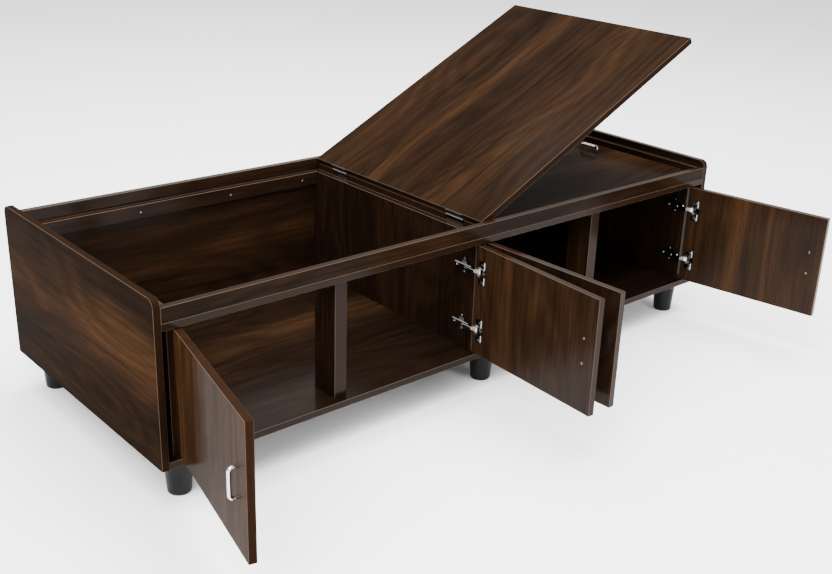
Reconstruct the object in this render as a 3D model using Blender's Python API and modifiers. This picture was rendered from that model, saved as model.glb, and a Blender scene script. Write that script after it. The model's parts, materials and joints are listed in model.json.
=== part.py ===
"""Low storage table with two lift-up lids over its bays and four cupboard doors in its front.

Metres, +Z up. X runs along the table, Y from the door side to the back. Every place is worked out in the
table's own design frame: X from the outer face of the left end panel, Y from the front face, Z from the
underside of the bottom board. The empty "table_frame" then puts the bottom centre of the whole model, with
the doors and the left lid open as they are modelled, on the world's origin.
"""
import math

import bmesh
import bpy
from mathutils import Matrix, Vector

# Carcass
LENGTH = 1.830
DEPTH = 0.738
BOARD = 0.017
JOINT_GAP = 0.0003
PANEL_CORNER_RADIUS = 0.020
EDGE_ROUND = 0.0006
RAIL_HEIGHT = 0.035
LEDGE_TOP = 0.335
PANEL_ABOVE_LEDGE = 0.055
BACK_LEDGE_HEIGHT = 0.036
FRONT_STRIP_DEPTH = 0.051
SIDE_PANEL_INSET = 0.038
DOOR_CLEARANCE = 0.004
POST_WIDTH = 0.034
POST_DEPTH = 0.080

# Lids
LID_END_GAP = 0.0015
LID_SIDE_GAP = 0.002
LID_HALF_GAP = 0.002
LID_PIN_HEIGHT = 0.0007
LEFT_LID_OPEN_DEG = 153.4
LID_HINGE_INSET = 0.105

# Doors
DOOR_WIDTH = 0.425
DOOR_GAP = 0.003
DOOR_EDGE_GAP = 0.0015
PIVOT_BEFORE_PANEL_FACE = 0.0066
PIVOT_BELOW_BACK = 0.0141
OUTER_DOOR_OPEN_DEG = {"door_1": 102.6, "door_4": 100.2}
GRIP_FROM_CENTRE = {"door_2": 0.0043, "door_3": 0.0017}

# Cup hinges
CUP_DIAMETER = 0.035
CUP_DEPTH = 0.0115
CUP_WALL = 0.001
CUP_PAST_PANEL_FACE = 0.0070
CUP_FROM_DOOR_END = 0.0685
FLANGE_LENGTH = 0.063
FLANGE_REACH = 0.0135
FLANGE_BACK_REACH = 0.008
FLANGE_THICKNESS = 0.0014
FLANGE_CORNER = 0.004
PLATE_LENGTH = 0.048
PLATE_DEPTH = 0.018
PLATE_THICKNESS = 0.003
ARM_LENGTH = 0.060
ARM_WIDTH = 0.014
ARM_HEIGHT = 0.0125
ARM_FROM_FRONT = 0.004
FINGER_WIDTH = 0.011
FINGER_NEAR = 0.0115
FINGER_FAR = 0.0185
FINGER_TO_CUP_FLOOR = 0.0008
STRAP_WIDTH = 0.011
STRAP_PAST_PIVOT = 0.0080
STRAP_ROOT_PAST_PANEL_FACE = 0.0011
STRAP_SUNK = 0.007

# Door and lid handles
HANDLE_CENTRES = 0.064
HANDLE_WIRE = 0.008
HANDLE_REACH = 0.023
HANDLE_BEND = 0.008
HANDLE_FROM_FREE_EDGE = 0.038
HANDLE_ABOVE_MIDDLE = 0.008

# Lid handles, the same bow as on the doors
LID_HANDLE_FROM_FREE_END = 0.080

# Butt hinges between the lids
LEAF_LENGTH = 0.064
LEAF_HEIGHT = 0.0145
LEAF_THICKNESS = 0.0012
KNUCKLE_RADIUS = 0.0032
PIN_RADIUS = 0.0015
PIN_HEAD_RADIUS = 0.0026
PIN_HEAD_THICKNESS = 0.001

# Feet
FOOT_HEIGHT = 0.095
FOOT_TOP_RADIUS = 0.033
FOOT_BOTTOM_RADIUS = 0.027
FOOT_EDGE_RADIUS = 0.006
FOOT_INSET_X = 0.066
FOOT_INSET_Y = 0.055
MIDDLE_FOOT_OFFSET = 0.056

# Finish colours as (red, green, blue), roughness, metallic
WALNUT = ("walnut_laminate", (0.085, 0.035, 0.020), 0.22, 0.0)
NICKEL = ("nickel_plate", (0.62, 0.61, 0.58), 0.25, 1.0)
CHROME = ("chrome_plate", (0.75, 0.76, 0.78), 0.12, 1.0)
BLACK_PLASTIC = ("black_plastic", (0.015, 0.015, 0.017), 0.38, 0.0)

ROUND_STEPS = 24
FOOT_STEPS = 28
MERGE_DISTANCE = 0.00001
SMOOTH_ANGLE = math.radians(35)

PANEL_HEIGHT = LEDGE_TOP + PANEL_ABOVE_LEDGE
DOOR_SETBACK = BOARD + DOOR_CLEARANCE
PANEL_FACE_FROM_EDGE = BOARD - DOOR_EDGE_GAP
PIVOT_FROM_EDGE = PANEL_FACE_FROM_EDGE - PIVOT_BEFORE_PANEL_FACE
PIVOT_FROM_FACE = BOARD - PIVOT_BELOW_BACK
CUP_FROM_EDGE = PANEL_FACE_FROM_EDGE + CUP_PAST_PANEL_FACE
RAIL_TOP = LEDGE_TOP + RAIL_HEIGHT
STRIP_BOTTOM = LEDGE_TOP - BOARD
DOOR_LOW = BOARD + DOOR_GAP
DOOR_HIGH = STRIP_BOTTOM - DOOR_GAP
CENTRE_X = LENGTH / 2
LID_TOP = LEDGE_TOP + JOINT_GAP + BOARD
PIN_Z = LID_TOP + LID_PIN_HEIGHT


def clear_scene():
    """Remove every object that the scene starts with."""
    for item in list(bpy.data.objects):
        bpy.data.objects.remove(item, do_unlink=True)


def new_collection(name):
    """Return a new collection linked to the scene."""
    made = bpy.data.collections.new(name)
    bpy.context.scene.collection.children.link(made)
    return made


def material(finish):
    """Return the material of a finish, made once."""
    name, colour, roughness, metallic = finish
    made = bpy.data.materials.get(name)
    if made is None:
        made = bpy.data.materials.new(name)
        made.use_nodes = True
        shader = made.node_tree.nodes["Principled BSDF"]
        shader.inputs["Base Color"].default_value = (*colour, 1.0)
        shader.inputs["Roughness"].default_value = roughness
        shader.inputs["Metallic"].default_value = metallic
        made.diffuse_color = (*colour, 1.0)
    return made


def empty(name, place, parent=None, turn=0.0, axis="Z"):
    """Return an empty at a place in its parent, turned in radians about one of its axes."""
    made = bpy.data.objects.new(name, None)
    made.empty_display_size = 0.03
    PARTS.objects.link(made)
    made.parent = parent
    made.location = place
    made.rotation_euler["XYZ".index(axis)] = turn
    return made


def add_part(name, mesh, finish, parent, place=(0, 0, 0)):
    """Return a named part that shows a mesh in a finish at a place in its parent."""
    made = bpy.data.objects.new(name, mesh)
    PARTS.objects.link(made)
    made.parent = parent
    made.location = place
    if not mesh.materials:
        mesh.materials.append(material(finish))
    return made


def block_mesh(name, size, centre=(0, 0, 0), corner=0.0, along="Z", keep=None, segments=3):
    """Return a box mesh of a size about a centre.

    With a corner radius, the edges that run along one axis are rounded, or those of them that keep() picks.
    """
    form = bmesh.new()
    bmesh.ops.create_cube(form, size=1.0)
    bmesh.ops.scale(form, vec=size, verts=form.verts)
    if corner:
        axis = "XYZ".index(along)
        edges = []
        for edge in form.edges:
            run = edge.verts[1].co - edge.verts[0].co
            if abs(run[axis]) > 0.5 * size[axis] and (keep is None or keep((edge.verts[0].co + edge.verts[1].co) / 2)):
                edges.append(edge)
        bmesh.ops.bevel(form, geom=edges, offset=corner, segments=segments, profile=0.5, affect="EDGES")
    bmesh.ops.translate(form, vec=centre, verts=form.verts)
    mesh = bpy.data.meshes.new(name)
    form.to_mesh(mesh)
    form.free()
    return mesh


def rod_mesh(name, radius, length, axis, centre=(0, 0, 0)):
    """Return a closed cylinder mesh along an axis about a centre."""
    form = bmesh.new()
    bmesh.ops.create_cone(form, cap_ends=True, segments=ROUND_STEPS, radius1=radius, radius2=radius, depth=length)
    turn = {"X": Matrix.Rotation(math.pi / 2, 4, "Y"), "Y": Matrix.Rotation(math.pi / 2, 4, "X")}
    if axis in turn:
        bmesh.ops.transform(form, matrix=turn[axis], verts=form.verts)
    bmesh.ops.translate(form, vec=centre, verts=form.verts)
    mesh = bpy.data.meshes.new(name)
    form.to_mesh(mesh)
    form.free()
    return mesh


def tool(mesh, parent=None, place=(0, 0, 0)):
    """Return a hidden object for a Boolean to cut with or join on."""
    made = bpy.data.objects.new("tool_" + mesh.name, mesh)
    CUTTERS.objects.link(made)
    made.hide_render = True
    made.display_type = "WIRE"
    made.parent = parent
    made.location = place
    return made


def combine(target, other, operation):
    """Add a Boolean modifier to a target: DIFFERENCE cuts the other object out, UNION joins it on."""
    step = target.modifiers.new(operation.lower(), "BOOLEAN")
    step.operation = operation
    step.solver = "EXACT"
    step.object = other


def soften(target, width=EDGE_ROUND):
    """Round all the sharp edges of a target by a small width."""
    step = target.modifiers.new("edge_round", "BEVEL")
    step.width = width
    step.segments = 1
    step.limit_method = "ANGLE"
    step.angle_limit = SMOOTH_ANGLE


def baked(name, base_mesh, cuts=(), joins=()):
    """Return one mesh: a base with other meshes joined on, and then others cut out."""
    base = bpy.data.objects.new(name, base_mesh)
    CUTTERS.objects.link(base)
    tools = [(tool(mesh), "UNION") for mesh in joins] + [(tool(mesh), "DIFFERENCE") for mesh in cuts]
    for other, operation in tools:
        combine(base, other, operation)
    graph = bpy.context.evaluated_depsgraph_get()
    mesh = bpy.data.meshes.new_from_object(base.evaluated_get(graph))
    mesh.name = name
    for other, _ in tools:
        bpy.data.objects.remove(other, do_unlink=True)
    bpy.data.objects.remove(base, do_unlink=True)
    mesh.shade_smooth()
    mesh.set_sharp_from_angle(angle=SMOOTH_ANGLE)
    return mesh


def board(name, low, high, parent=None, corner=0.0, keep=None):
    """Return a board between two corners, half a joint gap short on every face."""
    low, high = Vector(low), Vector(high)
    size = high - low - Vector((JOINT_GAP, JOINT_GAP, JOINT_GAP))
    mesh = block_mesh(name, size, corner=corner, along="X", keep=keep, segments=5)
    made = add_part(name, mesh, WALNUT, parent or FRAME, (low + high) / 2)
    soften(made)
    return made


def make_carcass():
    """Make the bottom, ends, sides, partition, back, ledges, rails and posts."""
    inner_left, inner_right = BOARD, LENGTH - BOARD
    inner_back = DEPTH - BOARD
    board("bottom_board", (inner_left, 0, 0), (inner_right, DEPTH, BOARD))
    for name, start in (("end_panel_left", 0.0), ("end_panel_right", inner_right)):
        board(name, (start, 0, 0), (start + BOARD, DEPTH, PANEL_HEIGHT),
              corner=PANEL_CORNER_RADIUS, keep=lambda middle: middle.z > 0)
    uprights = {
        "side_panel_left": SIDE_PANEL_INSET,
        "partition_left": CENTRE_X - BOARD,
        "partition_right": CENTRE_X,
        "side_panel_right": LENGTH - SIDE_PANEL_INSET - BOARD,
    }
    for name, start in uprights.items():
        made = board(name, (start, DOOR_SETBACK, BOARD), (start + BOARD, inner_back, LEDGE_TOP))
        notch = block_mesh(name + "_notch", (2 * BOARD, 2 * FRONT_STRIP_DEPTH, 2 * BOARD))
        combine(made, tool(notch, FRAME, (start + BOARD / 2, 0, LEDGE_TOP)), "DIFFERENCE")
        made.modifiers.move(1, 0)
    board("back_panel", (inner_left, inner_back, BOARD), (inner_right, DEPTH, LEDGE_TOP))
    board("front_strip", (inner_left, 0, STRIP_BOTTOM), (inner_right, FRONT_STRIP_DEPTH, LEDGE_TOP))
    board("front_rail", (inner_left, 0, LEDGE_TOP), (inner_right, BOARD, RAIL_TOP))
    board("back_rail", (inner_left, inner_back, LEDGE_TOP), (inner_right, DEPTH, RAIL_TOP))
    for name, start in (("end_rail_left", inner_left), ("end_rail_right", inner_right - BOARD)):
        board(name, (start, BOARD, LEDGE_TOP), (start + BOARD, inner_back, RAIL_TOP))
    bay_starts = (SIDE_PANEL_INSET + BOARD, CENTRE_X + BOARD)
    bay_length = CENTRE_X - SIDE_PANEL_INSET - 2 * BOARD
    for side, start in zip(("left", "right"), bay_starts):
        board("back_ledge_" + side, (start, inner_back - BOARD, LEDGE_TOP - BACK_LEDGE_HEIGHT),
              (start + bay_length, inner_back, LEDGE_TOP))
        middle = start + bay_length / 2
        board("front_post_" + side, (middle - POST_WIDTH / 2, DOOR_SETBACK, BOARD),
              (middle + POST_WIDTH / 2, DOOR_SETBACK + POST_DEPTH, STRIP_BOTTOM))


def make_feet():
    """Make the six turned feet from one profile, which runs from the top centre down to the bottom centre."""
    top, bottom = -JOINT_GAP, -FOOT_HEIGHT
    corner_x, corner_z = FOOT_BOTTOM_RADIUS - FOOT_EDGE_RADIUS, bottom + FOOT_EDGE_RADIUS
    profile = [(0.0, top), (FOOT_TOP_RADIUS, top)]
    for step in range(4):
        angle = math.radians(-30 * step)
        profile.append((corner_x + FOOT_EDGE_RADIUS * math.cos(angle), corner_z + FOOT_EDGE_RADIUS * math.sin(angle)))
    profile.append((0.0, bottom))
    mesh = bpy.data.meshes.new("foot")
    mesh.from_pydata([(x, 0, z) for x, z in profile], [(i, i + 1) for i in range(len(profile) - 1)], [])
    columns = {"left": FOOT_INSET_X, "middle": CENTRE_X + MIDDLE_FOOT_OFFSET, "right": LENGTH - FOOT_INSET_X}
    for row, y in (("front", FOOT_INSET_Y), ("back", DEPTH - FOOT_INSET_Y)):
        for column, x in columns.items():
            foot = add_part(f"foot_{row}_{column}", mesh, BLACK_PLASTIC, FRAME, (x, y, 0))
            turn = foot.modifiers.new("turn", "SCREW")
            turn.steps = turn.render_steps = FOOT_STEPS
            turn.use_merge_vertices = True
            turn.merge_threshold = MERGE_DISTANCE
            turn.use_smooth_shade = True


def handle_mesh():
    """Return the bow of a handle: two posts along -Y from the face it is fixed to, and a grip along Z."""
    out, half = HANDLE_REACH - HANDLE_WIRE / 2, HANDLE_CENTRES / 2
    points = [(-JOINT_GAP, -half), (-(out - HANDLE_BEND), -half)]
    for step in range(1, 5):
        angle = math.radians(22.5 * step)
        points.append((-(out - HANDLE_BEND) - HANDLE_BEND * math.sin(angle),
                       -half + HANDLE_BEND * (1 - math.cos(angle))))
    points += [(y, -z) for y, z in reversed(points)]
    curve = bpy.data.curves.new("handle_wire", "CURVE")
    curve.dimensions = "3D"
    curve.bevel_depth = HANDLE_WIRE / 2
    curve.bevel_resolution = 3
    curve.use_fill_caps = True
    spline = curve.splines.new("POLY")
    spline.points.add(len(points) - 1)
    for point, (y, z) in zip(spline.points, points):
        point.co = (0, y, z, 1)
    wire = bpy.data.objects.new("handle_wire", curve)
    CUTTERS.objects.link(wire)
    graph = bpy.context.evaluated_depsgraph_get()
    mesh = bpy.data.meshes.new_from_object(wire.evaluated_get(graph))
    bpy.data.objects.remove(wire, do_unlink=True)
    form = bmesh.new()
    form.from_mesh(mesh)
    bmesh.ops.remove_doubles(form, verts=form.verts, dist=MERGE_DISTANCE)
    form.to_mesh(mesh)
    form.free()
    mesh.name = "handle_bow"
    mesh.shade_smooth()
    mesh.set_sharp_from_angle(angle=SMOOTH_ANGLE)
    return mesh


def strap_mesh():
    """Return the cup's strap, which lies over the hinge edge and ends by the arm's finger when the door is open.

    Its back is an arc round the door's pivot that just clears the panels' front edges as the door swings.
    """
    pivot_x, pivot_y = PIVOT_FROM_EDGE - CUP_FROM_EDGE, PIVOT_FROM_FACE - BOARD
    radius = DOOR_SETBACK - PIVOT_FROM_FACE - JOINT_GAP
    start = math.acos(-STRAP_PAST_PIVOT / radius)
    end = math.asin((JOINT_GAP - pivot_y) / radius)
    steps = 10
    back = []
    for step in range(steps + 1):
        angle = start + (end - start) * step / steps
        back.append((pivot_x + radius * math.cos(angle), pivot_y + radius * math.sin(angle)))
    root = STRAP_ROOT_PAST_PANEL_FACE - CUP_PAST_PANEL_FACE
    outline = [*back, (back[-1][0], -STRAP_SUNK), (root, -STRAP_SUNK), (root, JOINT_GAP), (back[0][0], JOINT_GAP)]
    form = bmesh.new()
    face = form.faces.new([form.verts.new((x, y, -STRAP_WIDTH / 2)) for x, y in outline])
    grown = bmesh.ops.extrude_face_region(form, geom=[face])["geom"]
    lifted = [item for item in grown if isinstance(item, bmesh.types.BMVert)]
    bmesh.ops.translate(form, vec=(0, 0, STRAP_WIDTH), verts=lifted)
    bmesh.ops.recalc_face_normals(form, faces=form.faces)
    mesh = bpy.data.meshes.new("hinge_strap")
    form.to_mesh(mesh)
    form.free()
    return mesh


def cup_mesh():
    """Return a hinge cup about its axis along Y, its mouth at y = 0 and its flange reaching to +X."""
    flange_middle = (FLANGE_REACH - FLANGE_BACK_REACH) / 2
    flange = block_mesh("hinge_flange", (FLANGE_REACH + FLANGE_BACK_REACH, FLANGE_THICKNESS, FLANGE_LENGTH),
                        (flange_middle, JOINT_GAP + FLANGE_THICKNESS / 2, 0), FLANGE_CORNER, "Y", segments=2)
    rim = JOINT_GAP + FLANGE_THICKNESS
    barrel = rod_mesh("hinge_barrel", CUP_DIAMETER / 2, CUP_DEPTH + rim, "Y", (0, (rim - CUP_DEPTH) / 2, 0))
    hollow_depth = CUP_DEPTH - CUP_WALL + 2 * rim
    hollow = rod_mesh("hinge_hollow", CUP_DIAMETER / 2 - CUP_WALL, hollow_depth, "Y",
                      (0, 2 * rim - hollow_depth / 2, 0))
    shell = baked("hinge_shell", flange, cuts=[hollow], joins=[barrel])
    return baked("hinge_cup", shell, joins=[strap_mesh()])


def arm_mesh():
    """Return a hinge arm that stands on a panel face at x = 0 and grows to +X, with the panel's edge at y = 0.

    A wide mounting plate carries a slim arm, whose cranked finger reaches forward past the panel's edge to
    the place that the cup's hollow takes up when the door is shut.
    """
    plate = block_mesh("hinge_plate", (PLATE_THICKNESS, PLATE_DEPTH, PLATE_LENGTH),
                       (JOINT_GAP + PLATE_THICKNESS / 2, ARM_FROM_FRONT + ARM_LENGTH * 0.55, 0), 0.004, "X", segments=2)
    arm = block_mesh("hinge_arm_bar", (ARM_HEIGHT - JOINT_GAP, ARM_LENGTH, ARM_WIDTH),
                     ((ARM_HEIGHT + JOINT_GAP) / 2, ARM_FROM_FRONT + ARM_LENGTH / 2, 0), 0.002, "Y", segments=1)
    cup_floor = BOARD - CUP_DEPTH + CUP_WALL
    tip = cup_floor + FINGER_TO_CUP_FLOOR - DOOR_SETBACK
    root = ARM_FROM_FRONT + 0.012
    finger = block_mesh("hinge_finger", (FINGER_FAR - FINGER_NEAR, root - tip, FINGER_WIDTH),
                        ((FINGER_NEAR + FINGER_FAR) / 2, (root + tip) / 2, 0), 0.0015, "Y", segments=1)
    return baked("hinge_arm", arm, joins=[plate, finger])


def centre_door_angle(name):
    """Return how far a door by the centre stands open, so that its grip stops beside the other door's grip."""
    along = DOOR_WIDTH - HANDLE_FROM_FREE_EDGE - PIVOT_FROM_EDGE
    out = PIVOT_FROM_FACE + HANDLE_REACH
    side_step = GRIP_FROM_CENTRE[name] - DOOR_EDGE_GAP - PIVOT_FROM_EDGE
    return math.acos(side_step / math.hypot(along, out)) - math.atan2(out, along)


def make_doors():
    """Make each door shut in its own axis frame, which is then turned to the open angle it stands at."""
    height = DOOR_HIGH - DOOR_LOW
    cup_heights = (DOOR_LOW + CUP_FROM_DOOR_END, DOOR_HIGH - CUP_FROM_DOOR_END)
    handle_z = (DOOR_LOW + DOOR_HIGH) / 2 + HANDLE_ABOVE_MIDDLE
    side_face = SIDE_PANEL_INSET + BOARD
    # name: hinge edge when shut, face that carries the arms, +1 for a door that runs to +X from its hinge
    hung = {
        "door_1": (SIDE_PANEL_INSET + DOOR_EDGE_GAP, side_face, 1),
        "door_2": (CENTRE_X - DOOR_EDGE_GAP, CENTRE_X - BOARD, -1),
        "door_3": (CENTRE_X + DOOR_EDGE_GAP, CENTRE_X + BOARD, 1),
        "door_4": (LENGTH - SIDE_PANEL_INSET - DOOR_EDGE_GAP, LENGTH - side_face, -1),
    }
    cup, arm, bow = cup_mesh(), arm_mesh(), handle_mesh()
    for name, (edge_x, face_x, side) in hung.items():
        pivot = Vector((edge_x + side * PIVOT_FROM_EDGE, PIVOT_FROM_FACE, 0))
        outer = name in OUTER_DOOR_OPEN_DEG
        turn = -side * (math.radians(OUTER_DOOR_OPEN_DEG[name]) if outer else centre_door_angle(name))
        axis = empty(name + "_axis", pivot, FRAME, turn)

        def local(run, y, z, side=side):
            """Return a place in the door's frame from its distance to the hinge edge."""
            return Vector((side * (run - PIVOT_FROM_EDGE), y - PIVOT_FROM_FACE, z))

        size = (DOOR_WIDTH - JOINT_GAP, BOARD - JOINT_GAP, height)
        door = add_part(name, block_mesh(name, size), WALNUT, axis,
                        local(DOOR_WIDTH / 2, BOARD / 2, (DOOR_LOW + DOOR_HIGH) / 2))
        for place, z in zip(("lower", "upper"), cup_heights):
            bore = rod_mesh(f"{name}_{place}_bore", CUP_DIAMETER / 2 + JOINT_GAP, 2 * (CUP_DEPTH + JOINT_GAP), "Y")
            combine(door, tool(bore, axis, local(CUP_FROM_EDGE, BOARD, z)), "DIFFERENCE")
            hinge_cup = add_part(f"{name}_{place}_cup", cup, NICKEL, axis, local(CUP_FROM_EDGE, BOARD, z))
            hinge_arm = add_part(f"{name}_{place}_arm", arm, NICKEL, FRAME, (face_x, DOOR_SETBACK, z))
            if side < 0:
                hinge_cup.rotation_euler.y = math.pi
                hinge_arm.rotation_euler.y = math.pi
        soften(door)
        add_part(name + "_handle", bow, CHROME, axis, local(DOOR_WIDTH - HANDLE_FROM_FREE_EDGE, 0, handle_z))


def leaf_mesh(name, side, knuckles, reliefs):
    """Return a hinge leaf about the pin: a plate that hangs in the gap between the lids, and its knuckles.

    side is -1 for the leaf on the left lid and +1 for the one on the right. knuckles lists each knuckle's
    middle and length along Y, and reliefs the same for the spaces left for the other leaf's knuckles.
    """
    plate_x = side * (LID_HALF_GAP - JOINT_GAP - LEAF_THICKNESS / 2)
    plate_top = -KNUCKLE_RADIUS + 0.0012
    plate = block_mesh(name + "_plate", (LEAF_THICKNESS, LEAF_LENGTH, LEAF_HEIGHT),
                       (plate_x, 0, plate_top - LEAF_HEIGHT / 2))
    barrels = [rod_mesh(f"{name}_barrel_{i}", KNUCKLE_RADIUS, length, "Y", (0, middle, 0))
               for i, (middle, length) in enumerate(knuckles)]
    cuts = [rod_mesh(name + "_hole", PIN_RADIUS + JOINT_GAP, 2 * LEAF_LENGTH, "Y")]
    for i, (middle, length) in enumerate(reliefs):
        cuts.append(block_mesh(f"{name}_relief_{i}", (8 * LEAF_THICKNESS, length, 2 * (KNUCKLE_RADIUS + JOINT_GAP)),
                               (0, middle, 0)))
    return baked(name, plate, cuts=cuts, joins=barrels)


def make_lids():
    """Make the lids, shut, in frames on the pin line, and turn the left one's frame to where it stands open."""
    length = CENTRE_X - LID_HALF_GAP - 2 * BOARD - LID_END_GAP
    width = DEPTH - 2 * (BOARD + LID_SIDE_GAP)
    knuckle = LEAF_LENGTH / 3
    outer = [(-knuckle, knuckle - JOINT_GAP), (knuckle, knuckle - JOINT_GAP)]
    outer_space = [(-knuckle, knuckle + JOINT_GAP), (knuckle, knuckle + JOINT_GAP)]
    leaves = {
        "left": leaf_mesh("leaf_left", -1, outer, [(0, knuckle + JOINT_GAP)]),
        "right": leaf_mesh("leaf_right", 1, [(0, knuckle - JOINT_GAP)], outer_space),
    }
    bow = handle_mesh()
    pin_length = LEAF_LENGTH + 2 * PIN_HEAD_THICKNESS + 2 * JOINT_GAP
    heads = [rod_mesh(f"pin_head_{end}", PIN_HEAD_RADIUS, PIN_HEAD_THICKNESS, "Y",
                      (0, end * (pin_length - PIN_HEAD_THICKNESS) / 2, 0)) for end in (-1, 1)]
    pin = baked("hinge_pin", rod_mesh("pin_shaft", PIN_RADIUS, pin_length, "Y"), joins=heads)
    hinge_places = {"front": LID_HINGE_INSET - width / 2, "back": width / 2 - LID_HINGE_INSET}
    for side_name, side, open_deg in (("left", -1, LEFT_LID_OPEN_DEG), ("right", 1, 0.0)):
        axis = empty(f"lid_{side_name}_axis", (CENTRE_X, DEPTH / 2, PIN_Z), FRAME, math.radians(open_deg), "Y")
        lid_z = LID_TOP - PIN_Z - BOARD / 2
        lid = add_part("lid_" + side_name, block_mesh("lid_" + side_name, (length, width, BOARD)), WALNUT, axis,
                       (side * (LID_HALF_GAP + length / 2), 0, lid_z))
        for place, y in hinge_places.items():
            groove = rod_mesh(f"{side_name}_{place}_groove", KNUCKLE_RADIUS + JOINT_GAP,
                              pin_length + 4 * JOINT_GAP, "Y")
            combine(lid, tool(groove, axis, (0, y, 0)), "DIFFERENCE")
            add_part(f"lid_hinge_{place}_leaf_{side_name}", leaves[side_name], NICKEL, axis, (0, y, 0))
            if side > 0:
                add_part(f"lid_hinge_{place}_pin", pin, NICKEL, axis, (0, y, 0))
        soften(lid)
        handle_place = (side * (LID_HALF_GAP + length - LID_HANDLE_FROM_FREE_END), 0, LID_TOP - PIN_Z)
        handle = add_part(f"lid_{side_name}_handle", bow, CHROME, axis, handle_place)
        handle.rotation_euler.x = -math.pi / 2


def stand_on_origin():
    """Move the frame so that the origin is the bottom centre of the box round every part."""
    bpy.context.view_layer.update()
    graph = bpy.context.evaluated_depsgraph_get()
    points = []
    for item in PARTS.objects:
        if item.type == "MESH":
            shown = item.evaluated_get(graph)
            points += [shown.matrix_world @ vertex.co for vertex in shown.data.vertices]
    low = Vector([min(point[i] for point in points) for i in range(3)])
    high = Vector([max(point[i] for point in points) for i in range(3)])
    FRAME.location = (-(low.x + high.x) / 2, -(low.y + high.y) / 2, -low.z)


clear_scene()
PARTS = new_collection("lift_top_storage_table")
CUTTERS = new_collection("cutters")
FRAME = empty("table_frame", (0, 0, 0))
make_carcass()
make_feet()
make_doors()
make_lids()
stand_on_origin()
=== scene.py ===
"""Looks of a low storage table with two lift-up lids, four cupboard doors, bow handles and tapered feet.

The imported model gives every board, lid, door, hinge, handle and foot. This script gives each of them a
procedural finish, adds the screws, and sets up the floor, the lights and the camera.
"""
import json
import logging
import math
from dataclasses import dataclass, field
from enum import Enum

import bmesh
import bpy
import numpy as np
from mathutils import Euler, Matrix, Vector


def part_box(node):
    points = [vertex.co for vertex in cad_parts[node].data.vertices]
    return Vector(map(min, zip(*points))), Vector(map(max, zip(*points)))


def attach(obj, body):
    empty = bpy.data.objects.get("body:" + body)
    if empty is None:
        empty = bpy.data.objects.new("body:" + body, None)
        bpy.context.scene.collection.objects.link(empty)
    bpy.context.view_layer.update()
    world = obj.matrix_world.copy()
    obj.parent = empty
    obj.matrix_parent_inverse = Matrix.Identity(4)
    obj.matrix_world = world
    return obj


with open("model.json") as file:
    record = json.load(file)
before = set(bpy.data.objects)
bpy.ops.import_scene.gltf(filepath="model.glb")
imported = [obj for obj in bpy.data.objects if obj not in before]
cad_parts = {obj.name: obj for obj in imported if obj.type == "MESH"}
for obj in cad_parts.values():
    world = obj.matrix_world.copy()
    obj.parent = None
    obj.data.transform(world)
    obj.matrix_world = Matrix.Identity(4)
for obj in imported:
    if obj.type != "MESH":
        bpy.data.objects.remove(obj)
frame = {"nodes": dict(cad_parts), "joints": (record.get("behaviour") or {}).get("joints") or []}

log = logging.getLogger("table")

SENSOR_WIDTH = 36.0
SHARP_ANGLE = math.radians(38)


class Grain(Enum):
    """The axis that a board's grain runs along, in the board's own unturned frame."""

    X = 0
    Y = 1
    Z = 2


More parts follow.
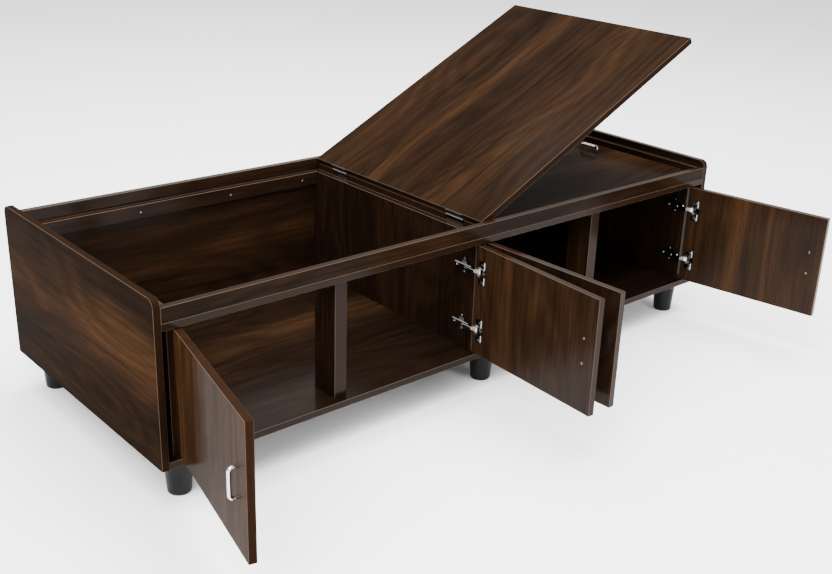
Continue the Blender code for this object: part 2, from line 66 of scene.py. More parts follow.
class Tree:
    """A material's node tree with short ways to add and join nodes."""

    def __init__(self, material: bpy.types.Material) -> None:
        """Take the tree of a material that uses nodes."""
        self.nodes = material.node_tree.nodes
        self.links = material.node_tree.links
        self.shader = self.nodes["Principled BSDF"]

    def add(self, kind: str, inputs: dict | None = None, **settings: object) -> bpy.types.Node:
        """Add a node.

        Args:
            kind: Blender's name for the node type.
            inputs: values or sockets for its inputs, by name or number.
            settings: properties of the node itself.

        Returns:
            The new node.
        """
        node = self.nodes.new(kind)
        for name, value in settings.items():
            setattr(node, name, value)
        for name, value in (inputs or {}).items():
            self.feed(node.inputs[name], value)
        return node

    def feed(self, socket: bpy.types.NodeSocket, value: object) -> None:
        """Link a socket to an input, or set the input's own value."""
        if isinstance(value, bpy.types.NodeSocket):
            self.links.new(value, socket)
        else:
            socket.default_value = value

    def math(self, operation: str, first: object, second: object = 0.0,
             clamp: bool = False) -> bpy.types.NodeSocket:
        """Return the result of a Math node on one or two values or sockets."""
        node = self.add("ShaderNodeMath", {0: first, 1: second}, operation=operation, use_clamp=clamp)
        return node.outputs[0]

    def remap(self, value: object, low: float, high: float, to_low: float,
              to_high: float) -> bpy.types.NodeSocket:
        """Return a value moved smoothly from one range to another, held at the ends."""
        node = self.add("ShaderNodeMapRange", {0: value, 1: low, 2: high, 3: to_low, 4: to_high},
                        interpolation_type="SMOOTHSTEP")
        return node.outputs[0]

    def mix(self, factor: object, first: object, second: object, blend: str = "MIX") -> bpy.types.NodeSocket:
        """Return a blend of two colours."""
        node = self.add("ShaderNodeMix", data_type="RGBA", blend_type=blend)
        self.feed(node.inputs[0], factor)
        self.feed(node.inputs[6], first)
        self.feed(node.inputs[7], second)
        return node.outputs[2]

    def noise(self, vector: object, scale: float, detail: float,
              distortion: float = 0.0) -> bpy.types.NodeSocket:
        """Return smooth noise over a vector."""
        node = self.add("ShaderNodeTexNoise", {"Vector": vector, "Scale": scale, "Detail": detail,
                                               "Distortion": distortion})
        return node.outputs["Fac"]

    def stretched(self, vector: object, factors: tuple[float, float, float]) -> bpy.types.NodeSocket:
        """Return a vector times a factor on each axis."""
        node = self.add("ShaderNodeVectorMath", {0: vector, 1: factors}, operation="MULTIPLY")
        return node.outputs[0]

    def in_slab(self, place: object, centre: Vector, turn: Euler) -> bpy.types.NodeSocket:
        """Return a place measured in a frame with its own middle and turn."""
        node = self.add("ShaderNodeMapping", {"Vector": place, "Location": centre, "Rotation": turn},
                        vector_type="TEXTURE")
        return node.outputs["Vector"]

    def ramp(self, factor: object, stops: tuple) -> bpy.types.NodeSocket:
        """Return a colour from a ramp whose stops are (place, (red, green, blue))."""
        node = self.add("ShaderNodeValToRGB", {"Fac": factor})
        ramp = node.color_ramp
        while len(ramp.elements) < len(stops):
            ramp.elements.new(0.5)
        for element, (place, colour) in zip(ramp.elements, stops):
            element.position = place
            element.color = (*colour, 1.0)
        return node.outputs["Color"]

    def bump(self, height: object, strength: float, distance: float) -> None:
        """Drive the shader's normal with a height, in metres at full strength."""
        node = self.add("ShaderNodeBump", {"Height": height, "Strength": strength, "Distance": distance})
        self.links.new(node.outputs["Normal"], self.shader.inputs["Normal"])


def new_material(name: str) -> tuple[bpy.types.Material, Tree]:
    """Return a new material that uses nodes, and its tree."""
    material = bpy.data.materials.new(name)
    material.use_nodes = True
    return material, Tree(material)


@dataclass(frozen=True)
class Slab:
    """A board's own frame: its middle and turn at rest, and its half sizes before the turn."""

    centre: Vector
    turn: Euler
    half: Vector

    @staticmethod
    def of(node: str, to_rest: Matrix) -> "Slab":
        """Return the slab of a node that to_rest carries from its shut place to where it rests."""
        low, high = shut_box(node, to_rest)
        return Slab(to_rest @ ((low + high) / 2), to_rest.to_euler(), (high - low) / 2)


@dataclass(frozen=True)
class Streak:
    """A warm streak of heartwood, on the left end panel also a painted sheen: its place across the board from
    the middle, half width and strength.
    """

    place: float
    width: float
    strength: float


@dataclass(frozen=True)
class BoardLook:
    """How one board differs: its tone, up for lighter, its warm streaks, and how strongly it mirrors."""

    tone: float = 0.0
    streaks: tuple[Streak, ...] = ()
    gloss: float = 0.06


@dataclass(frozen=True)
class WalnutLaminate:
    """High-gloss dark walnut laminate on board, with pale lines where the edge bands meet the faces: part
    glue line, part painted edge highlight.
    """

    stops: tuple = (
        (0.10, (0.0038, 0.0021, 0.0013)),
        (0.36, (0.0080, 0.0041, 0.0023)),
        (0.56, (0.0152, 0.0074, 0.0036)),
        (0.78, (0.0320, 0.0144, 0.0058)),
        (1.00, (0.0600, 0.0268, 0.0096)),
    )
    band_colour: tuple = (0.0105, 0.0048, 0.0027, 1.0)
    # The pale edge line is part glue line, part painted highlight along the edge.
    glue_and_highlight_colour: tuple = (0.070, 0.049, 0.033, 1.0)
    glue_and_highlight_width: float = 0.0008
    glue_and_highlight_core: float = 0.55
    band_edge: tuple[float, float] = (0.0002, 0.0005)
    band_share: float = 0.75
    roughness: float = 0.17
    smudge_scale: float = 7.0
    seed_step: tuple[float, float, float] = (3.7, 1.9, 0.7)
    broad_scale: tuple[float, float, float] = (0.9, 5.0, 5.0)
    broad_share: float = 0.62
    fine_scale: tuple[float, float, float] = (3.4, 95.0, 95.0)
    fine_share: float = 0.34
    slow_scale: tuple[float, float, float] = (0.9, 3.6, 3.6)
    ring_count: float = 105.0
    ring_share: float = 0.05
    vein_scale: tuple[float, float, float] = (1.6, 55.0, 55.0)
    vein_range: tuple[float, float] = (0.56, 0.70)
    vein_depth: float = 0.12
    streak_wander: float = 0.16
    tone_offset: float = -0.02
    pore_scale: tuple[float, float, float] = (14.0, 420.0, 420.0)
    pore_stops: tuple = ((0.30, (0.35, 0.33, 0.32)), (0.62, (1.0, 1.0, 1.0)))
    pore_share: float = 0.55
    pore_strength: float = 0.5
    pore_depth: float = 0.00002

    def make(self, name: str, slab: Slab, grain: Grain, seed: int, look: BoardLook,
             corner: float = 0.0) -> bpy.types.Material:
        """Make the finish for one board.

        The grain's tone is slow noise stretched along the grain, plus the rings of a slower noise, plus any
        streaks, each a bell curve across the board that wanders along it. The pale edge line, part glue line
        and part painted highlight, is where the greater of two distances is small: to the board's outline,
        and to its faces.

        Args:
            name: the board's name.
            slab: its own frame.
            grain: the axis that its grain runs along.
            seed: picks which part of the endless pattern it shows.
            look: its tone, streaks and gloss.
            corner: the radius of its outline's upper corners.

        Returns:
            The material.
        """
        material, tree = new_material("walnut_" + name)
        place = tree.add("ShaderNodeTexCoord").outputs["Object"]
        local = tree.in_slab(place, slab.centre, slab.turn)
        axes = tree.add("ShaderNodeSeparateXYZ", {0: local}).outputs
        thin = min(range(3), key=lambda i: slab.half[i])
        along = grain.value
        across = next(i for i in range(3) if i not in (along, thin)) if thin != along else (along + 1) % 3
        other = next(i for i in range(3) if i not in (along, across))
        fibre = tree.add("ShaderNodeCombineXYZ", {0: axes[along], 1: axes[across], 2: axes[other]}).outputs[0]
        start = tuple(seed * step for step in self.seed_step)
        fibre = tree.add("ShaderNodeVectorMath", {0: fibre, 1: start}, operation="ADD").outputs[0]
        tone_socket = self._tone(tree, fibre, axes[across], look)
        wood = tree.ramp(tone_socket, self.stops)
        pores = tree.noise(tree.stretched(fibre, self.pore_scale), 1.0, 2.0)
        wood = tree.mix(self.pore_share, wood, tree.ramp(pores, self.pore_stops), "MULTIPLY")
        outline, faces = self._distances(tree, axes, slab, thin, corner)
        wood = tree.mix(tree.remap(outline, *self.band_edge, self.band_share, 0.0), wood, self.band_colour)
        # Pale edge line: part the edge band's glue line, part a painted highlight along the edge.
        joint = tree.math("MAXIMUM", outline, faces)
        glue_and_highlight_line = tree.remap(joint, self.glue_and_highlight_width * self.glue_and_highlight_core, self.glue_and_highlight_width, 1.0, 0.0)
        colour = tree.mix(glue_and_highlight_line, wood, self.glue_and_highlight_colour)
        tree.feed(tree.shader.inputs["Base Color"], colour)
        smudge = tree.noise(local, self.smudge_scale, 3.0)
        tree.feed(tree.shader.inputs["Roughness"],
                  tree.remap(smudge, 0.3, 0.7, self.roughness * 0.8, self.roughness * 1.3))
        tree.shader.inputs["Specular IOR Level"].default_value = look.gloss
        tree.bump(pores, self.pore_strength, self.pore_depth)
        return material

    def _tone(self, tree: Tree, fibre: object, across: object, look: BoardLook) -> bpy.types.NodeSocket:
        """Return the grain's tone from 0, nearly black, to 1, light and warm."""
        broad = tree.noise(tree.stretched(fibre, self.broad_scale), 1.0, 3.0, 0.5)
        fine = tree.noise(tree.stretched(fibre, self.fine_scale), 1.0, 4.0, 0.5)
        slow = tree.noise(tree.stretched(fibre, self.slow_scale), 1.0, 1.5, 0.3)
        vein_noise = tree.noise(tree.stretched(fibre, self.vein_scale), 1.0, 3.0, 0.8)
        veins = tree.remap(vein_noise, *self.vein_range, 0.0, self.vein_depth)
        rings = tree.math("SINE", tree.math("MULTIPLY", slow, self.ring_count))
        total = tree.math("ADD", tree.math("MULTIPLY", broad, self.broad_share),
                          tree.math("MULTIPLY", fine, self.fine_share))
        total = tree.math("ADD", total, tree.math("MULTIPLY", rings, self.ring_share))
        total = tree.math("SUBTRACT", total, veins)
        wander = tree.math("MULTIPLY", tree.math("SUBTRACT", slow, 0.5), self.streak_wander)
        for streak in look.streaks:
            off = tree.math("ADD", tree.math("SUBTRACT", across, streak.place), wander)
            off = tree.math("DIVIDE", off, streak.width)
            bell = tree.math("EXPONENT", tree.math("MULTIPLY", tree.math("MULTIPLY", off, off), -1.0))
            total = tree.math("ADD", total, tree.math("MULTIPLY", bell, streak.strength))
        return tree.math("ADD", total, look.tone + self.tone_offset, clamp=True)

    def _distances(self, tree: Tree, axes: object, slab: Slab, thin: int,
                   corner: float) -> tuple[bpy.types.NodeSocket, bpy.types.NodeSocket]:
        """Return the distance to the board's outline, its upper corners rounded, and to its faces."""
        radius = tree.math("MULTIPLY", tree.math("GREATER_THAN", axes[2], 0.0), corner)
        over = []
        for i in range(3):
            if i != thin:
                past = tree.math("SUBTRACT", tree.math("ABSOLUTE", axes[i]), slab.half[i])
                over.append(tree.math("ADD", past, radius))
        outside = [tree.math("MAXIMUM", value, 0.0) for value in over]
        squares = [tree.math("MULTIPLY", value, value) for value in outside]
        length = tree.math("SQRT", tree.math("ADD", *squares))
        inside = tree.math("MINIMUM", tree.math("MAXIMUM", *over), 0.0)
        outline = tree.math("SUBTRACT", radius, tree.math("ADD", length, inside))
        faces = tree.math("SUBTRACT", slab.half[thin], tree.math("ABSOLUTE", axes[thin]))
        return outline, faces


@dataclass(frozen=True)
class Plating:
    """A plated metal with faint clouding in its polish."""

    name: str
    colour: tuple[float, float, float]
    roughness: float
    cloud: float
    metallic: float = 1.0
    cloud_scale: float = 90.0
    cloud_shade: float = 0.86

    def make(self) -> bpy.types.Material:
        """Return the finish's one material, made on first use."""
        if self.name in bpy.data.materials:
            return bpy.data.materials[self.name]
        material, tree = new_material(self.name)
        place = tree.add("ShaderNodeTexCoord").outputs["Object"]
        cloud = tree.noise(place, self.cloud_scale, 3.0)
        shade = tuple(value * self.cloud_shade for value in self.colour)
        tree.feed(tree.shader.inputs["Base Color"],
                  tree.ramp(cloud, ((0.35, shade), (0.65, self.colour))))
        tree.feed(tree.shader.inputs["Roughness"],
                  tree.remap(cloud, 0.3, 0.7, self.roughness - self.cloud, self.roughness + self.cloud))
        tree.shader.inputs["Metallic"].default_value = self.metallic
        return material


@dataclass(frozen=True)
class HingeCupFinish:
    """Nickel plate on the cup and its flange, with a painted highlight line along its rim, and a pale zinc
    strap over its edge.
    """

    strap_half_width: float = 0.0056
    strap_reach: float = 0.0176
    # The rim band is a painted highlight: a pale, less metallic line along the flange's far rim.
    rim_width: float = 0.0024
    rim_inset: float = 0.0039
    rim_highlight_matt: float = 0.7
    rim_highlight_colour: tuple = (0.60, 0.59, 0.56, 1.0)
    plate_stops: tuple = ((0.35, (0.09, 0.088, 0.083)), (0.65, (0.14, 0.137, 0.13)))
    cast_shade: tuple = (0.48, 0.46, 0.41)
    cloud_scale: float = 90.0

    def make(self, name: str, slab: Slab, side: int) -> bpy.types.Material:
        """Make the finish for one cup.

        Args:
            name: the cup's name.
            slab: its own frame.
            side: +1 for a door that runs to +X from its hinge, -1 for the other way.

        Returns:
            The material.
        """
        material, tree = new_material("plate_" + name)
        place = tree.add("ShaderNodeTexCoord").outputs["Object"]
        local = tree.in_slab(place, slab.centre, slab.turn)
        axes = tree.add("ShaderNodeSeparateXYZ", {0: local}).outputs
        from_edge = tree.math("ADD", tree.math("MULTIPLY", axes[0], float(side)), slab.half.x)
        near = tree.math("LESS_THAN", from_edge, self.strap_reach)
        narrow = tree.math("LESS_THAN", tree.math("ABSOLUTE", axes[2]), self.strap_half_width)
        strap = tree.math("MULTIPLY", near, narrow)
        far_side = 2 * slab.half.x - self.rim_inset
        rim = tree.math("MULTIPLY", tree.math("GREATER_THAN", from_edge, far_side - self.rim_width),
                        tree.math("LESS_THAN", from_edge, far_side))
        cloud = tree.noise(place, self.cloud_scale, 3.0)
        plate = tree.ramp(cloud, self.plate_stops)
        cast = tree.ramp(cloud, ((0.35, self.cast_shade), (0.65, PALE_ZINC.colour)))
        # Painted highlight: the rim band takes a pale colour.
        plate = tree.mix(rim, plate, self.rim_highlight_colour)
        tree.feed(tree.shader.inputs["Base Color"], tree.mix(strap, plate, cast))
        smooth = NICKEL.roughness - NICKEL.cloud
        tree.feed(tree.shader.inputs["Roughness"], tree.remap(cloud, 0.3, 0.7, smooth, PALE_ZINC.roughness))
        matt = tree.math("ADD", tree.math("MULTIPLY", strap, 1.0 - PALE_ZINC.metallic),
                         tree.math("MULTIPLY", rim, self.rim_highlight_matt), clamp=True)
        tree.feed(tree.shader.inputs["Metallic"], tree.math("SUBTRACT", 1.0, matt))
        return material


@dataclass(frozen=True)
class MouldedPlastic:
    """Satin black moulded plastic with a very fine spark-eroded texture."""

    name: str = "black_moulded_plastic"
    colour: tuple[float, float, float] = (0.0045, 0.0045, 0.005)
    roughness: float = 0.34
    specular: float = 0.10
    speck_scale: float = 1400.0
    speck_roughness: float = 0.12
    speck_depth: float = 0.00004
    cloud_scale: float = 25.0
    cloud_light: float = 1.5

    def make(self) -> bpy.types.Material:
        """Return the finish's one material, made on first use."""
        if self.name in bpy.data.materials:
            return bpy.data.materials[self.name]
        material, tree = new_material(self.name)
        place = tree.add("ShaderNodeTexCoord").outputs["Object"]
        speck = tree.noise(place, self.speck_scale, 2.0)
        cloud = tree.noise(place, self.cloud_scale, 2.0)
        light = tuple(value * self.cloud_light for value in self.colour)
        tree.feed(tree.shader.inputs["Base Color"], tree.ramp(cloud, ((0.35, self.colour), (0.7, light))))
        tree.feed(tree.shader.inputs["Roughness"],
                  tree.remap(speck, 0.3, 0.7, self.roughness, self.roughness + self.speck_roughness))
        tree.shader.inputs["Specular IOR Level"].default_value = self.specular
        tree.bump(speck, 0.3, self.speck_depth)
        return material


WALNUT = WalnutLaminate()
CHROME = Plating("polished_chrome", (0.60, 0.605, 0.615), 0.08, 0.03)
NICKEL = Plating("bright_nickel", (0.26, 0.255, 0.24), 0.12, 0.05)
AGED_NICKEL = Plating("aged_nickel", (0.12, 0.113, 0.105), 0.26, 0.05)
PALE_ZINC = Plating("pale_zinc_strap", (0.56, 0.54, 0.48), 0.32, 0.05, 0.75)
BLACK = MouldedPlastic()


def shut_box(node: str, to_rest: Matrix) -> tuple[Vector, Vector]:
    """Return the box round a node when it is carried back from where it rests to where it is shut."""
    mesh = frame["nodes"][node].data
    points = np.empty(len(mesh.vertices) * 3)
    mesh.vertices.foreach_get("co", points)
    back = np.array(to_rest.inverted())
    points = points.reshape(-1, 3) @ back[:3, :3].T + back[:3, 3]
    return Vector(points.min(0)), Vector(points.max(0))


def rest_turn(joint_name: str, shut_value: float | None = None) -> Matrix:
    """Return the matrix that carries a body from shut to rest.

    Args:
        joint_name: the hinge that the body turns on.
        shut_value: the joint's value in degrees when it is shut, or None for its furthest limit from rest.
    """
    joint = next(item for item in frame["joints"] if item["name"] == joint_name)
    shut = max(joint["range_deg"], key=abs) if shut_value is None else shut_value
    pivot = Matrix.Translation(joint["pos_m"])
    return pivot @ Matrix.Rotation(math.radians(-shut), 4, Vector(joint["axis"])) @ pivot.inverted()


class Form:
    """Vertices and faces of one piece, gathered from lofts."""

    def __init__(self) -> None:
        """Start empty."""
        self.points: list[np.ndarray] = []
        self.faces: list[list[int]] = []
        self.count = 0

    def loft(self, rings: np.ndarray) -> None:
        """Add a closed skin over rings of points, shape (rings, points round each, 3).

        Point j of ring i joins its neighbours in the ring and the same point of the next ring. A fan to the
        first and to the last ring's middle closes the ends.
        """
        rows, columns = rings.shape[:2]
        index = self.count + np.arange(rows * columns).reshape(rows, columns)
        after = np.roll(index, -1, axis=1)
        quads = np.stack([index[:-1], after[:-1], after[1:], index[1:]], axis=-1).reshape(-1, 4)
        first, last = self.count + rows * columns, self.count + rows * columns + 1
        start = np.stack([after[0], index[0], np.full(columns, first)], axis=-1)
        end = np.stack([index[-1], after[-1], np.full(columns, last)], axis=-1)
        self.faces += quads.tolist() + start.tolist() + end.tolist()
        self.points += [rings.reshape(-1, 3), rings[0].mean(0)[None], rings[-1].mean(0)[None]]
        self.count += rows * columns + 2

    def piece(self, name: str, material: bpy.types.Material, body: str, slot: str, to_rest: Matrix) -> None:
        """Make the piece, carry it to rest, and let it ride on a body.

        Args:
            name: the piece's name.
            material: its finish.
            body: the body that it moves with.
            slot: not used.
            to_rest: the matrix from the shut place that it was worked out in.
        """
        turn = np.array(to_rest)
        points = np.concatenate(self.points) @ turn[:3, :3].T + turn[:3, 3]
        mesh = bpy.data.meshes.new(name)
        mesh.from_pydata(points.tolist(), [], self.faces)
        build = bmesh.new()
        build.from_mesh(mesh)
        bmesh.ops.recalc_face_normals(build, faces=build.faces)
        build.to_mesh(mesh)
        build.free()
        mesh.shade_smooth()
        mesh.set_sharp_from_angle(angle=SHARP_ANGLE)
        mesh.materials.append(material)
        made = bpy.data.objects.new(name, mesh)
        bpy.context.scene.collection.objects.link(made)
        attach(made, body)
        log.info("%s: %d faces on %s", name, len(mesh.polygons), body)


@dataclass(frozen=True)
class ScrewHead:
    """A pan head with a cross recess, sizes in metres."""

    radius: float = 0.0036
    height: float = 0.0016
    recess: float = 0.0009
    slot_width: float = 0.0010
    slot_reach: float = 0.66
    fall: float = 0.8
    middle_share: float = 0.06
    lift: float = 0.00002
    around: int = 32
    steps: int = 9

    def add_to(self, form: Form, place: Vector, out: Vector) -> None:
        """Add the head to a form.

        The height over a polar grid is height times (1 - fall s^4), with s the distance from the middle over
        the radius, less the recess where the point lies in either arm of the cross.

        Args:
            form: what gathers it.
            place: the middle of the face that it sits on.
            out: the way that it points.
        """
        angle = np.arange(self.around) * 2 * math.pi / self.around
        share = np.linspace(self.middle_share, 1.0, self.steps)[:, None]
        x, y = share * self.radius * np.cos(angle), share * self.radius * np.sin(angle)
        in_first = (abs(x) < self.slot_width / 2) & (abs(y) < self.slot_reach * self.radius)
        in_second = (abs(y) < self.slot_width / 2) & (abs(x) < self.slot_reach * self.radius)
        z = self.height * (1 - self.fall * share**4) - self.recess * (in_first | in_second)
        grid = np.stack([x, y, np.broadcast_to(z, x.shape)], axis=-1)
        foot = grid[-1:].copy()
        foot[..., 2] = self.lift
        turn = np.array(out.to_track_quat("Z", "Y").to_matrix())
        form.loft(np.concatenate([grid, foot]) @ turn.T + np.array(place))


@dataclass
class Carcass:
    """The fixed boards, and the screws in the left bay's back ledge."""

    end_corner: float = 0.020
    ledge_screw_shares: tuple[float, ...] = (0.336, 0.656, 0.941)
    ledge_screw_drop: float = 0.0035
    ledge_screw_radius: float = 0.0034
    grains: dict[str, tuple[Grain, BoardLook]] = field(default_factory=lambda: {
        "bottom_board": (Grain.X, BoardLook(-0.16, (Streak(0.05, 0.05, 0.22),))),
        # The left end panel's streak is heartwood and also a painted sheen; its gloss is nearly off.
        "end_panel_left": (Grain.Y, BoardLook(-0.07, (Streak(0.03, 0.07, 0.26),), 0.001)),
        "end_panel_right": (Grain.Y, BoardLook(0.04, (), 0.03)),
        "side_panel_left": (Grain.Z, BoardLook(0.02)),
        "partition_left": (Grain.Z, BoardLook(-0.10, (Streak(0.02, 0.05, 0.14),))),
        "partition_right": (Grain.Z, BoardLook(-0.04)),
        "side_panel_right": (Grain.Z, BoardLook(-0.02)),
        "back_panel": (Grain.X, BoardLook(0.0, (Streak(-0.02, 0.04, 0.24),))),
        "front_strip": (Grain.X, BoardLook(-0.02)),
        "front_rail": (Grain.X, BoardLook(-0.04, (), 0.02)),
        "back_rail": (Grain.X, BoardLook()),
        "end_rail_left": (Grain.Y, BoardLook()),
        "end_rail_right": (Grain.Y, BoardLook()),
        "back_ledge_left": (Grain.X, BoardLook(-0.02)),
        "back_ledge_right": (Grain.X, BoardLook(-0.02)),
        "front_post_left": (Grain.Z, BoardLook(0.02)),
        "front_post_right": (Grain.Z, BoardLook(0.02)),
    })

    def dress(self) -> None:
        """Give every fixed board its own laminate, and each foot its plastic."""
        for seed, (name, (grain, look)) in enumerate(self.grains.items()):
            corner = self.end_corner if name.startswith("end_panel") else 0.0
            finish = WALNUT.make(name, Slab.of(name, Matrix.Identity(4)), grain, seed + 2, look, corner)
            repaint(name, finish)
        for name in frame["nodes"]:
            if name.startswith("foot_"):
                repaint(name, BLACK.make())

    def build(self) -> None:
        """Make the screws along the left bay's back ledge."""
        low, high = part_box("back_ledge_left")
        screws = Form()
        height = (low.z + high.z) / 2 - self.ledge_screw_drop
        for share in self.ledge_screw_shares:
            place = Vector((low.x + share * (high.x - low.x), low.y, height))
            ScrewHead(radius=self.ledge_screw_radius).add_to(screws, place, Vector((0, -1, 0)))
        screws.piece("back_ledge_screws", AGED_NICKEL.make(), "carcass", "nickel_plate", Matrix.Identity(4))


@dataclass
class Lid:
    """One lift-up lid with its bow handle and its half of the two butt hinges."""

    side: str
    seed: int
    look: BoardLook
    shut_value: float | None

    def dress(self) -> None:
        """Give the lid its laminate, its handle chrome and its hinge parts nickel."""
        to_rest = rest_turn(f"{self.side}_lid_hinge", self.shut_value)
        name = f"lid_{self.side}"
        repaint(name, WALNUT.make(name, Slab.of(name, to_rest), Grain.X, self.seed, self.look))
        repaint(name + "_handle", CHROME.make())
        for place in ("front", "back"):
            repaint(f"lid_hinge_{place}_leaf_{self.side}", NICKEL.make())
            if self.side == "right":
                repaint(f"lid_hinge_{place}_pin", NICKEL.make())


@dataclass
class Door:
    """One cupboard door with its bow handle, its two concealed hinges and all their screws."""

    number: int
    side: int
    seed: int
    look: BoardLook
    wire_radius: float = 0.004
    flange_screw_reach: float = 0.024
    flange_screw_out: float = 0.009
    plate_screw_reach: float = 0.0175
    plate_thickness: float = 0.003
    plate_from_end: float = 0.027
    arm_height: float = 0.0125
    arm_screw_places: tuple[float, ...] = (0.010, 0.040)
    arm_screw_sunk: float = 0.0003
    flange_screw: ScrewHead = ScrewHead(radius=0.0033, height=0.0009)
    arm_screw: ScrewHead = ScrewHead(radius=0.0042, height=0.0012)

    @property
    def name(self) -> str:
        """The door's name, which is also its body's."""
        return f"door_{self.number}"

    def dress(self) -> None:
        """Give the door its laminate, its handle chrome and its hinges nickel."""
        to_rest = rest_turn(self.name + "_hinge")
        slab = Slab.of(self.name, to_rest)
        repaint(self.name, WALNUT.make(self.name, slab, Grain.Z, self.seed, self.look))
        repaint(self.name + "_handle", CHROME.make())
        for place in ("lower", "upper"):
            cup = f"{self.name}_{place}_cup"
            repaint(cup, HingeCupFinish().make(cup, Slab.of(cup, to_rest), self.side))
            repaint(f"{self.name}_{place}_arm", NICKEL.make())

    def build(self) -> None:
        """Make the screws of the handle and of both hinges."""
        to_rest = rest_turn(self.name + "_hinge")
        _, high = shut_box(self.name, to_rest)
        inward = Vector((0, 1, 0))
        flange_screws, plate_screws, arm_screws = Form(), Form(), Form()
        for place in ("lower", "upper"):
            cup_low, cup_high = shut_box(f"{self.name}_{place}_cup", to_rest)
            middle = (cup_low + cup_high) / 2
            for reach in (-self.flange_screw_reach, self.flange_screw_reach):
                across = middle.x + self.side * self.flange_screw_out
                place_on = Vector((across, cup_high.y, middle.z + reach))
                self.flange_screw.add_to(flange_screws, place_on, inward)
            self._arm_screws(f"{self.name}_{place}_arm", plate_screws, arm_screws)
        handle_low, handle_high = shut_box(self.name + "_handle", to_rest)
        handle_screws = Form()
        across = (handle_low.x + handle_high.x) / 2
        for z in (handle_low.z + self.wire_radius, handle_high.z - self.wire_radius):
            ScrewHead().add_to(handle_screws, Vector((across, high.y, z)), inward)
        for form, kind, body, turn in (
            (flange_screws, "flange_screws", self.name, to_rest),
            (handle_screws, "handle_screws", self.name, to_rest),
            (plate_screws, "plate_screws", "carcass", Matrix.Identity(4)),
            (arm_screws, "arm_screws", "carcass", Matrix.Identity(4)),
        ):
            finish = NICKEL if kind == "arm_screws" else AGED_NICKEL
            form.piece(f"{self.name}_{kind}", finish.make(), body, "nickel_plate", turn)

    def _arm_screws(self, arm: str, plate_screws: Form, arm_screws: Form) -> None:
        """Add the screws of one hinge arm: two in its mounting plate, two in its bar."""
        low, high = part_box(arm)
        face_x = low.x if self.side > 0 else high.x
        middle_z = (low.z + high.z) / 2
        out = Vector((self.side, 0, 0))
        for reach in (-self.plate_screw_reach, self.plate_screw_reach):
            plate_x = face_x + self.side * self.plate_thickness
            place = Vector((plate_x, high.y - self.plate_from_end, middle_z + reach))
            ScrewHead().add_to(plate_screws, place, out)
        for from_end in self.arm_screw_places:
            bar_x = face_x + self.side * (self.arm_height - self.arm_screw_sunk)
            place = Vector((bar_x, high.y - from_end, middle_z))
            self.arm_screw.add_to(arm_screws, place, out)


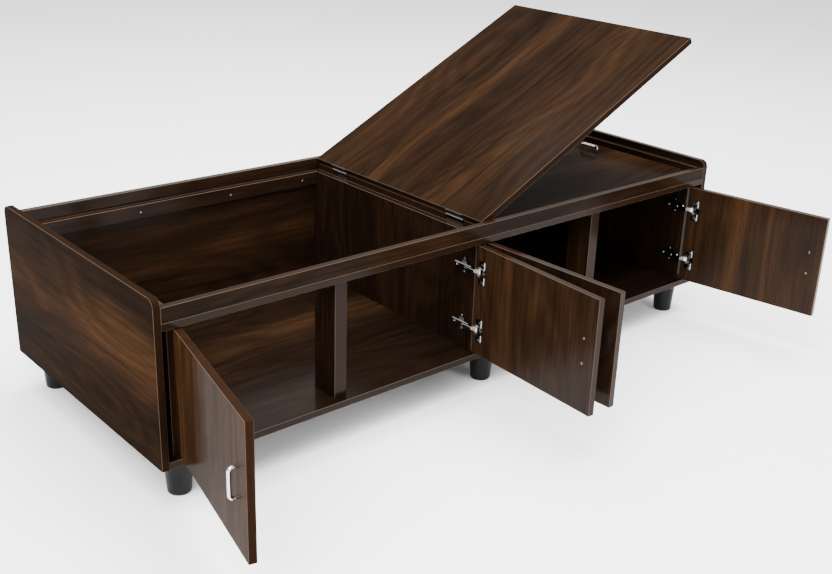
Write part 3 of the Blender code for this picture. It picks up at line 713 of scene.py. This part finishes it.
@dataclass
class Studio:
    """A pale floor, soft lights and the camera, sizes in metres."""

    camera_place: tuple[float, float, float] = (-1.8323, -2.0086, 1.3500)
    yaw_deg: float = 43.086
    pitch_deg: float = -21.858
    roll_deg: float = 2.695
    lens_mm: float = 47.795625
    shift_x: float = -0.0438
    shift_y: float = -0.0065
    floor_size: float = 30.0
    floor_steps: int = 9
    floor_shade: float = 0.95
    lit_place: tuple[float, float, float] = (0.0, 0.2, 0.3)
    world_strength: float = 1.4

    def build(self) -> None:
        """Make the camera, the floor, the lights and the world."""
        self._camera()
        self._floor()
        self._light("key_light", (-3.2, -1.4, 3.2), 2.8, 340.0)
        self._light("top_light", (0.4, 0.4, 4.8), 5.0, 1000.0)
        self._light("front_light", (0.4, -4.4, 1.9), 2.4, 120.0)
        world = bpy.data.worlds.new("studio")
        world.use_nodes = True
        world.node_tree.nodes["Background"].inputs["Color"].default_value = (1.0, 1.0, 1.0, 1.0)
        world.node_tree.nodes["Background"].inputs["Strength"].default_value = self.world_strength
        bpy.context.scene.world = world

    def _camera(self) -> None:
        """Make the camera. It looks along its yaw and pitch, and its roll turns it about that line."""
        yaw, pitch, roll = (math.radians(v) for v in (self.yaw_deg, self.pitch_deg, self.roll_deg))
        ahead = Vector((math.sin(yaw) * math.cos(pitch), math.cos(yaw) * math.cos(pitch), math.sin(pitch)))
        level = Vector((math.cos(yaw), -math.sin(yaw), 0.0))
        above = level.cross(ahead)
        right = math.cos(roll) * level + math.sin(roll) * above
        up = -math.sin(roll) * level + math.cos(roll) * above
        data = bpy.data.cameras.new("camera")
        data.sensor_width = SENSOR_WIDTH
        data.lens = self.lens_mm
        data.shift_x, data.shift_y = self.shift_x, self.shift_y
        camera = bpy.data.objects.new("camera", data)
        turn = Matrix((right, up, -ahead)).transposed().to_4x4()
        camera.matrix_world = Matrix.Translation(self.camera_place) @ turn
        bpy.context.scene.collection.objects.link(camera)
        bpy.context.scene.camera = camera

    def _floor(self) -> None:
        """Make the floor, a grid that lies flat."""
        count = self.floor_steps
        steps = np.linspace(-self.floor_size / 2, self.floor_size / 2, count)
        x, y = np.meshgrid(steps, steps)
        index = np.arange(count * count).reshape(count, count)
        corners = [index[:-1, :-1], index[:-1, 1:], index[1:, 1:], index[1:, :-1]]
        faces = np.stack(corners, axis=-1).reshape(-1, 4)
        mesh = bpy.data.meshes.new("floor")
        mesh.from_pydata(np.stack([x, y, 0 * x], axis=-1).reshape(-1, 3).tolist(), [], faces.tolist())
        material, tree = new_material("pale_floor")
        tree.shader.inputs["Base Color"].default_value = (self.floor_shade,) * 3 + (1.0,)
        tree.shader.inputs["Roughness"].default_value = 0.9
        mesh.materials.append(material)
        floor = bpy.data.objects.new("floor", mesh)
        bpy.context.scene.collection.objects.link(floor)

    def _light(self, name: str, place: tuple[float, float, float], size: float, power: float) -> None:
        """Make a square soft light that faces the table's middle."""
        data = bpy.data.lights.new(name, "AREA")
        data.size, data.energy = size, power
        light = bpy.data.objects.new(name, data)
        light.location = place
        towards = Vector(self.lit_place) - Vector(place)
        light.rotation_euler = towards.to_track_quat("-Z", "Y").to_euler()
        bpy.context.scene.collection.objects.link(light)


def repaint(node: str, material: bpy.types.Material) -> None:
    """Put a finish on every material slot of a node."""
    mesh = frame["nodes"][node].data
    mesh.materials.clear()
    mesh.materials.append(material)


LEFT_LID_STREAKS = (Streak(0.105, 0.045, 0.29), Streak(-0.18, 0.06, 0.19), Streak(0.27, 0.03, 0.10))
RIGHT_LID_STREAKS = (Streak(-0.1, 0.06, 0.16),)
DOOR_4_STREAKS = (Streak(0.06, 0.028, 0.16), Streak(-0.047, 0.035, 0.18), Streak(-0.14, 0.025, 0.13))
LIDS = (
    Lid("left", 31, BoardLook(-0.045, LEFT_LID_STREAKS, 0.006), None),
    Lid("right", 37, BoardLook(0.04, RIGHT_LID_STREAKS, 0.002), 0.0),
)
DOORS = (
    Door(1, 1, 41, BoardLook(0.14, (Streak(-0.18, 0.05, 0.28),), 0.004)),
    Door(2, -1, 43, BoardLook(0.05, (Streak(0.115, 0.035, 0.22),))),
    Door(3, 1, 47, BoardLook(-0.02)),
    Door(4, -1, 53, BoardLook(0.05, DOOR_4_STREAKS)),
)


def main() -> None:
    """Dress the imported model, add the pieces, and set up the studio."""
    logging.basicConfig(level=logging.INFO, format="%(message)s")
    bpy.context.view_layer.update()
    Studio().build()
    carcass = Carcass()
    carcass.dress()
    carcass.build()
    for lid in LIDS:
        lid.dress()
        log.info("lid %s dressed", lid.side)
    for door in DOORS:
        door.dress()
        door.build()


if __name__ == "__main__":
    main()
